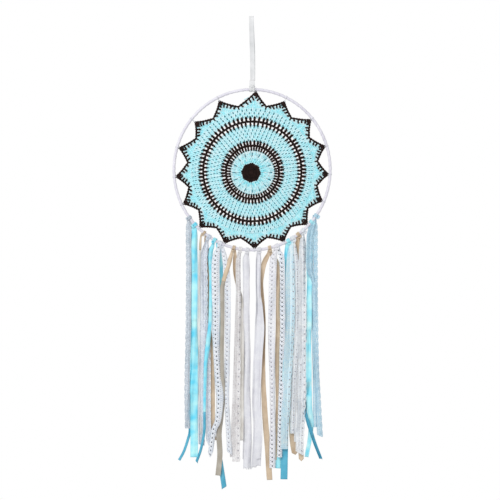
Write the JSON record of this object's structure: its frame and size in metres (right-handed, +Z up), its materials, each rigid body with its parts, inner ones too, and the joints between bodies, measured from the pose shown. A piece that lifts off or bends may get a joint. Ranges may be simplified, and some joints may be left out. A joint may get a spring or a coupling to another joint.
{
  "type": "dream catcher",
  "caption": "Hanging dream catcher: crocheted mandala laced into a ribbon-wrapped round hoop, with satin, lace and chiffon streamers hung from its lower half.",
  "frame": {"origin": "where the fold of the hanger ribbon bears on its nail or hook, on the ribbon's inner face", "axes": "+Z up, +X to the right seen from the front, the front faces -Y"},
  "size_m": [0.2516, 0.0094, 0.7417],
  "materials": {
    "white_ribbon": "satin weave",
    "steel": "plain drawn wire",
    "turquoise_yarn": "matt twisted cotton",
    "dark_yarn": "matt twisted cotton",
    "white_thread": "matt thread",
    "turquoise_satin": "soft satin sheen",
    "tan_satin": "soft satin sheen",
    "lace": "matt cotton lace",
    "chiffon": "sheer matt"
  },
  "bodies": {
    "hanger": {"hanger_ribbon": "white_ribbon"},
    "knot": {"hanger_knot": "white_ribbon"},
    "hoop": {"hoop_core": "steel", "hoop_wrap": "white_ribbon", "crochet_centre_rosette": "dark_yarn", "crochet_inner_turquoise": "turquoise_yarn", "crochet_inner_dark_band": "dark_yarn", "crochet_middle_turquoise": "turquoise_yarn", "crochet_outer_dark_band": "dark_yarn", "crochet_turquoise_fans": "turquoise_yarn", "crochet_dark_edging": "dark_yarn", "lacing_tie_01": "white_thread", "lacing_tie_02": "white_thread", "lacing_tie_03": "white_thread", "lacing_tie_04": "white_thread", "lacing_tie_05": "white_thread", "lacing_tie_06": "white_thread", "lacing_tie_07": "white_thread", "lacing_tie_08": "white_thread", "lacing_tie_09": "white_thread", "lacing_tie_10": "white_thread", "lacing_tie_11": "white_thread", "lacing_tie_12": "white_thread", "lacing_tie_13": "white_thread", "lacing_tie_14": "white_thread", "lacing_tie_15": "white_thread", "lacing_tie_16": "white_thread"},
    "lace_streamer_1": {"lace_streamer_1": "lace"},
    "turquoise_streamer_1": {"turquoise_streamer_1": "turquoise_satin"},
    "tan_streamer_1": {"tan_streamer_1": "tan_satin"},
    "lace_streamer_2": {"lace_streamer_2": "lace"},
    "turquoise_streamer_2": {"turquoise_streamer_2": "turquoise_satin"},
    "lace_streamer_3": {"lace_streamer_3": "lace"},
    "tan_streamer_2": {"tan_streamer_2": "tan_satin"},
    "lace_streamer_4": {"lace_streamer_4": "lace"},
    "chiffon_streamer_1": {"chiffon_streamer_1": "chiffon"},
    "chiffon_streamer_2": {"chiffon_streamer_2": "chiffon"},
    "tan_streamer_3": {"tan_streamer_3": "tan_satin"},
    "lace_streamer_5": {"lace_streamer_5": "lace"},
    "turquoise_streamer_3": {"turquoise_streamer_3": "turquoise_satin"},
    "lace_streamer_6": {"lace_streamer_6": "lace"},
    "tan_streamer_4": {"tan_streamer_4": "tan_satin"},
    "lace_streamer_7": {"lace_streamer_7": "lace"},
    "turquoise_streamer_4": {"turquoise_streamer_4": "turquoise_satin"},
    "lace_streamer_8": {"lace_streamer_8": "lace"}
  },
  "joints": [
    {"name": "hanger_twist", "type": "hinge", "parent": "hanger", "child": "knot", "pos_m": [0, 0, -0.1018], "axis": [0, 0, 1], "range_deg": [-60, 60]},
    {"name": "hoop_swing", "type": "hinge", "parent": "knot", "child": "hoop", "pos_m": [0, 0, -0.115], "axis": [-1, 0, 0], "range_deg": [-30, 30]},
    {"name": "lace_streamer_1_swing", "type": "hinge", "parent": "hoop", "child": "lace_streamer_1", "pos_m": [-0.09863, 0, -0.31595], "axis": [-0.5846, 0, 0.8113], "range_deg": [-30, 30]},
    {"name": "turquoise_streamer_1_swing", "type": "hinge", "parent": "hoop", "child": "turquoise_streamer_1", "pos_m": [-0.08959, 0, -0.32709], "axis": [-0.6736, 0, 0.7391], "range_deg": [-30, 30]},
    {"name": "tan_streamer_1_swing", "type": "hinge", "parent": "hoop", "child": "tan_streamer_1", "pos_m": [-0.07554, 0, -0.34029], "axis": [-0.78, 0, 0.6258], "range_deg": [-30, 30]},
    {"name": "lace_streamer_2_swing", "type": "hinge", "parent": "hoop", "child": "lace_streamer_2", "pos_m": [-0.06772, 0, -0.34607], "axis": [-0.827, 0, 0.5621], "range_deg": [-30, 30]},
    {"name": "turquoise_streamer_2_swing", "type": "hinge", "parent": "hoop", "child": "turquoise_streamer_2", "pos_m": [-0.0593, 0, -0.35131], "axis": [-0.8699, 0, 0.4932], "range_deg": [-30, 30]},
    {"name": "lace_streamer_3_swing", "type": "hinge", "parent": "hoop", "child": "lace_streamer_3", "pos_m": [-0.0503, 0, -0.35593], "axis": [-0.908, 0, 0.419], "range_deg": [-30, 30]},
    {"name": "tan_streamer_2_swing", "type": "hinge", "parent": "hoop", "child": "tan_streamer_2", "pos_m": [-0.02864, 0, -0.36352], "axis": [-0.9709, 0, 0.2394], "range_deg": [-30, 30]},
    {"name": "lace_streamer_4_swing", "type": "hinge", "parent": "hoop", "child": "lace_streamer_4", "pos_m": [-0.01835, 0, -0.36558], "axis": [-0.9882, 0, 0.1535], "range_deg": [-30, 30]},
    {"name": "chiffon_streamer_1_swing", "type": "hinge", "parent": "hoop", "child": "chiffon_streamer_1", "pos_m": [-0.0077, 0, -0.36675], "axis": [-0.9979, 0, 0.0645], "range_deg": [-30, 30]},
    {"name": "chiffon_streamer_2_swing", "type": "hinge", "parent": "hoop", "child": "chiffon_streamer_2", "pos_m": [0.01112, 0, -0.36648], "axis": [-0.9957, 0, -0.093], "range_deg": [-30, 30]},
    {"name": "tan_streamer_3_swing", "type": "hinge", "parent": "hoop", "child": "tan_streamer_3", "pos_m": [0.0276, 0, -0.36377], "axis": [-0.973, 0, -0.2307], "range_deg": [-30, 30]},
    {"name": "lace_streamer_5_swing", "type": "hinge", "parent": "hoop", "child": "lace_streamer_5", "pos_m": [0.03893, 0, -0.36049], "axis": [-0.9457, 0, -0.3249], "range_deg": [-30, 30]},
    {"name": "turquoise_streamer_3_swing", "type": "hinge", "parent": "hoop", "child": "turquoise_streamer_3", "pos_m": [0.0557, 0, -0.35327], "axis": [-0.886, 0, -0.4636], "range_deg": [-30, 30]},
    {"name": "lace_streamer_6_swing", "type": "hinge", "parent": "hoop", "child": "lace_streamer_6", "pos_m": [0.06429, 0, -0.34832], "axis": [-0.8454, 0, -0.5341], "range_deg": [-30, 30]},
    {"name": "tan_streamer_4_swing", "type": "hinge", "parent": "hoop", "child": "tan_streamer_4", "pos_m": [0.07247, 0, -0.34268], "axis": [-0.7994, 0, -0.6008], "range_deg": [-30, 30]},
    {"name": "lace_streamer_7_swing", "type": "hinge", "parent": "hoop", "child": "lace_streamer_7", "pos_m": [0.08017, 0, -0.33638], "axis": [-0.7483, 0, -0.6633], "range_deg": [-30, 30]},
    {"name": "turquoise_streamer_4_swing", "type": "hinge", "parent": "hoop", "child": "turquoise_streamer_4", "pos_m": [0.09316, 0, -0.323], "axis": [-0.6408, 0, -0.7677], "range_deg": [-30, 30]},
    {"name": "lace_streamer_8_swing", "type": "hinge", "parent": "hoop", "child": "lace_streamer_8", "pos_m": [0.10051, 0, -0.31327], "axis": [-0.5634, 0, -0.8262], "range_deg": [-30, 30]}
  ]
}
